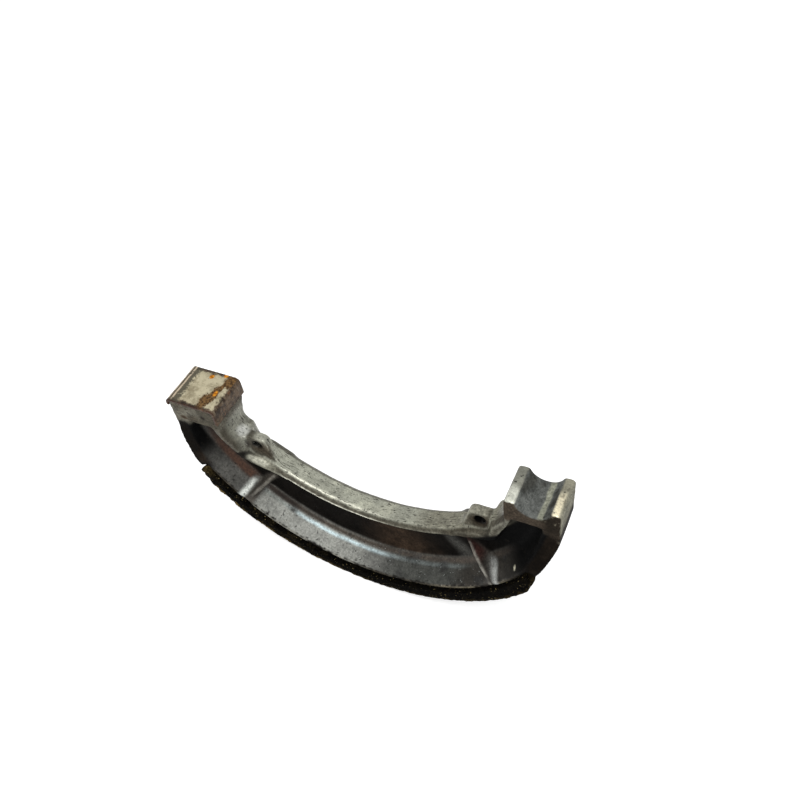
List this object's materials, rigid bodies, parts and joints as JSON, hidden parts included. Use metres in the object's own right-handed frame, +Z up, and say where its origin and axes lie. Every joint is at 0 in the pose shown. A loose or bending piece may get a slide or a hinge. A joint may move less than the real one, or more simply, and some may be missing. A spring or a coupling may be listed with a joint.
{
  "type": "brake shoe",
  "caption": "Worn drum brake shoe: curved cast-aluminium shoe with a web, inner flange and ribs, bonded friction lining, steel-capped cam end and half-round pivot seat.",
  "frame": {"origin": "on the brake drum's axis, midway across the lining; the lining's lowest point is 80 mm below it", "axes": "+Y along the drum axis from the front of the shoe to its back, +Z up with the shoe standing on its lining, +X from the cam end to the pivot end"},
  "size_m": [0.1518, 0.028, 0.0856],
  "materials": {
    "cast_aluminium": "satin",
    "friction_lining": "matte",
    "rusty_steel": "satin"
  },
  "bodies": {
    "root": {"shoe_casting": "cast_aluminium", "brake_lining": "friction_lining", "cam_wear_cap": "rusty_steel"}
  },
  "joints": []
}
